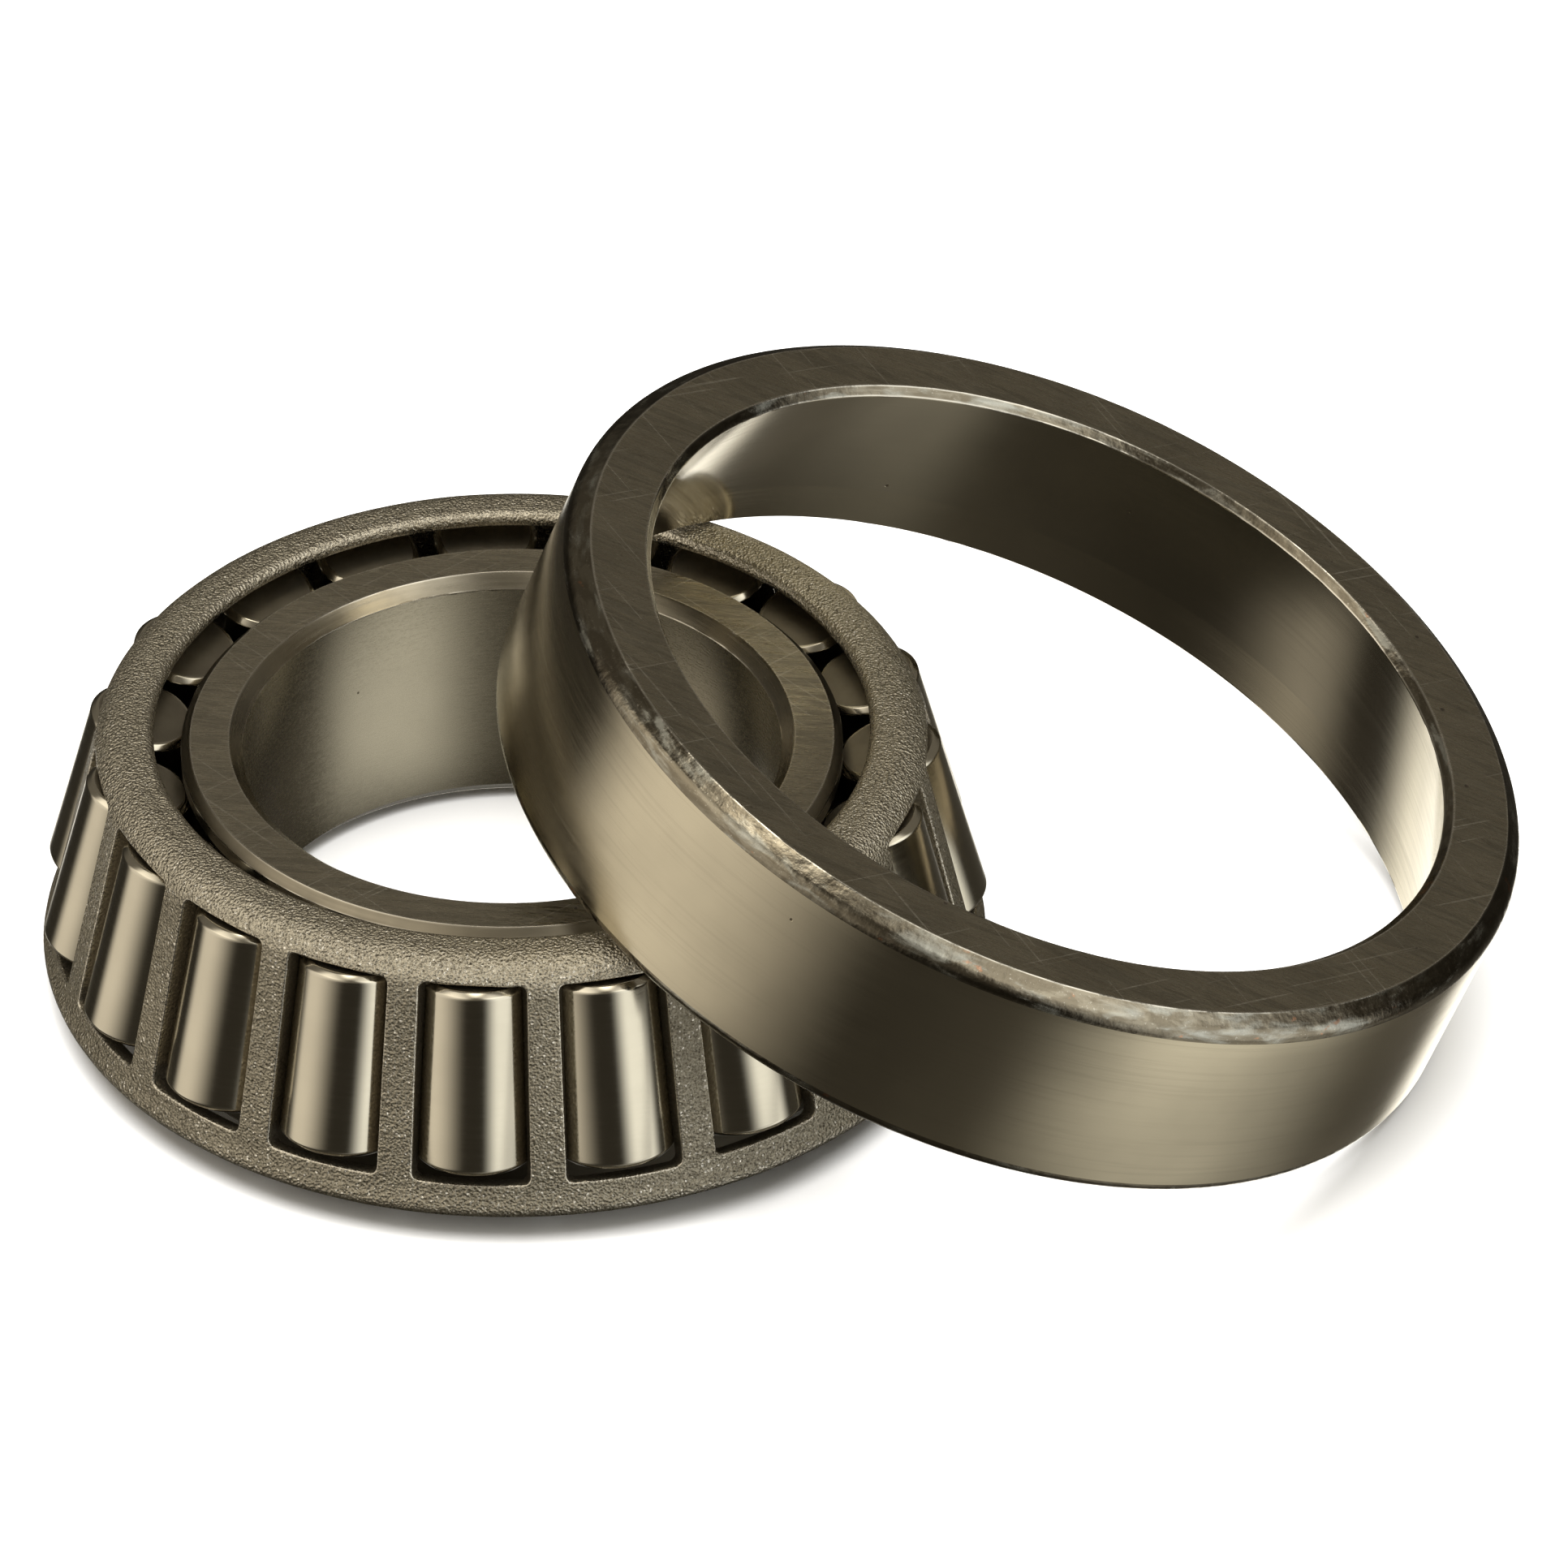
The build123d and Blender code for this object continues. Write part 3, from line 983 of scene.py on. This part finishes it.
# The shade on the floor. A shade's rise and fall are radii in millimetres, its depth is how
# dark it gets, and the outer ring's fades away again between two places along Y.
SHADE_HALF = 0.2
SHADE_HEIGHT = 0.05 * MM
INNER_RING_SHADE = (12, 25, 41, 50)
INNER_RING_SHADE_DEPTH = 0.9
OUTER_RING_SHADE = (40, 44, 50, 66)
OUTER_RING_SHADE_DEPTH = 0.35
OUTER_RING_SHADE_FADE = (-28, -4)


def add_camera():
    """Looks at the bearing from the front and above, from far off through a long lens."""
    data = bpy.data.cameras.new("camera")
    data.lens = CAMERA_LENS
    data.sensor_width = CAMERA_SENSOR
    data.clip_start, data.clip_end = 0.05, 20
    camera = bpy.data.objects.new("camera", data)
    scene.collection.objects.link(camera)
    camera.location = middle + CAMERA_FROM_MIDDLE
    direction = middle + AIM_FROM_MIDDLE - camera.location
    camera.rotation_euler = direction.to_track_quat("-Z", "Y").to_euler()
    scene.camera = camera


def add_plane(name, half, material):
    """A flat square round the origin."""
    mesh = bmesh.new()
    bmesh.ops.create_grid(mesh, x_segments=8, y_segments=8, size=half)
    data = bpy.data.meshes.new(name)
    mesh.to_mesh(data)
    mesh.free()
    data.materials.append(material)
    plane = bpy.data.objects.new(name, data)
    scene.collection.objects.link(plane)
    return plane


def add_floor():
    """A plain pale floor. It's kept out of reflections, where the light tent stands for it."""
    paper = bpy.data.materials.new("floor_paper")
    paper.use_nodes = True
    shader = paper.node_tree.nodes["Principled BSDF"]
    shader.inputs["Base Color"].default_value = (0.93, 0.93, 0.93, 1)
    shader.inputs["Roughness"].default_value = 0.9
    shader.inputs["Specular IOR Level"].default_value = 0.0
    floor = add_plane("floor", FLOOR_HALF, paper)
    floor.visible_glossy = False


def add_floor_shade():
    """The dark floor close to the steel, seen in its reflections only."""
    shade = Steel("floor_shade", (0.03, 0.027, 0.02), 1.0)
    shade.shader.inputs["Metallic"].default_value = 0.0
    shade.shader.inputs["Specular IOR Level"].default_value = 0.0

    def cover(centre, squeeze, radii, depth):
        """The shade round one ring, whose outline on the floor is squeezed along X."""
        apart = shade.vector("SUBTRACT", shade.place, centre)
        away = shade.vector("LENGTH", shade.vector("MULTIPLY", apart, (squeeze, 1, 0)))
        return shade.math("MULTIPLY", shade.band(away, *radii), depth)

    lean = Vector(mounts["outside"]["axis"]).normalized()
    low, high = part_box("outer_ring")
    centre = (low + high) / 2 / MM
    under_outer = cover(centre, 1 / lean.z, OUTER_RING_SHADE, OUTER_RING_SHADE_DEPTH)
    faded = shade.remap(shade.along((0, 1, 0)), *OUTER_RING_SHADE_FADE, 1.0, 0.0)
    under_outer = shade.math("MULTIPLY", under_outer, faded)
    under_inner = cover(Vector(), 1.0, INNER_RING_SHADE, INNER_RING_SHADE_DEPTH)
    darkest = shade.math("MAXIMUM", under_inner, under_outer)
    shade.plug(shade.shader.inputs["Alpha"], darkest)
    plane = add_plane("floor_shade", SHADE_HALF, shade.done())
    plane.location.z = SHADE_HEIGHT
    for kind in ("camera", "diffuse", "transmission", "shadow", "volume_scatter"):
        setattr(plane, "visible_" + kind, False)


def add_overhead_light():
    """Lights the floor from straight above, and leaves the metal to the light tent."""
    data = bpy.data.lights.new("overhead", "AREA")
    data.shape = "DISK"
    data.size = OVERHEAD_SIZE
    data.energy = OVERHEAD_POWER
    light = bpy.data.objects.new("overhead", data)
    scene.collection.objects.link(light)
    light.location = OVERHEAD_PLACE
    light.visible_glossy = False


def add_light_tent():
    """The tent that the steel mirrors: soft light areas on a dark ground.

    Directions are in degrees: side is the azimuth from the camera's own, to the right, and
    height is the angle above the horizon.
    """
    tent = bpy.data.worlds.new("light_tent")
    scene.world = tent
    tent.use_nodes = True
    sky = Nodes(tent.node_tree)
    direction = sky.node("ShaderNodeTexCoord").outputs["Generated"]

    def azimuth_from(angle):
        """The direction's azimuth from this angle, between -180 and 180, and its Z."""
        parts = sky.node("ShaderNodeSeparateXYZ")
        sky.plug(parts.inputs[0], sky.turned(direction, -angle))
        swing = sky.math("ARCTAN2", parts.outputs[1], parts.outputs[0])
        return sky.math("MULTIPLY", swing, degrees(1)), parts.outputs[2]

    # the directions, and the left side's slanted edge
    side, upward = azimuth_from(CAMERA_AZIMUTH)
    height = sky.math("MULTIPLY", sky.math("ARCSINE", upward), degrees(1))
    behind = sky.math("ABSOLUTE", azimuth_from(CAMERA_AZIMUTH + radians(190))[0])
    slant = sky.math("MULTIPLY", sky.math("MINIMUM", height, 10), 0.8)
    slanted = sky.math("SUBTRACT", side, slant)
    left_rise = sky.remap(side, -113, -91)
    left = sky.math("MULTIPLY", left_rise, sky.remap(slanted, -68, -10, 1.0, 0.0))
    right = sky.band(side, 12, 46, 70, 98)
    both = sky.math("ADD", left, right)
    far_right = sky.band(side, -8, 40, 50, 122)
    rear = sky.remap(behind, 26, 46, 1.0, 0.0)
    lobes = (
        # the two tall sides, the left one slanted, and more light high up on both
        (left, sky.band(height, -44, -28, 52, 84), (0.94, 0.87, 0.75)),
        (right, sky.band(height, -46, -20, 40, 84), (1.36, 1.36, 1.3)),
        (both, sky.band(height, 28, 52, 66, 86), (0.6, 0.57, 0.5)),
        # the bright table: close on the right, faint in front and round to it, and behind
        (far_right, sky.band(height, -84, -54, -46, -32), (0.84, 0.82, 0.74)),
        (sky.remap(side, -70, 50), sky.remap(height, -12, -45), (0.09, 0.083, 0.07)),
        (rear, sky.band(height, -68, -54, -34, -30), (1.8, 1.74, 1.57)),
        # the lamp overhead, and the pale roof round it
        (sky.remap(height, 74, 90), 1.0, (4.4, 4.15, 3.6)),
        (sky.remap(height, 0, 30), 1.0, (0.13, 0.118, 0.097)),
    )
    colour = (*DARK_GROUND, 1)
    for across, up, tone in lobes:
        share = sky.math("MULTIPLY", across, up)
        colour = sky.mix(share, colour, (*tone, 1), "ADD")
    sky.plug(tent.node_tree.nodes["Background"].inputs["Color"], colour)


build_outer_ring()
build_inner_ring()
build_rollers()
build_cage()
add_floor()
add_floor_shade()
add_light_tent()
add_overhead_light()
add_camera()
scene.view_settings.view_transform = "Standard"
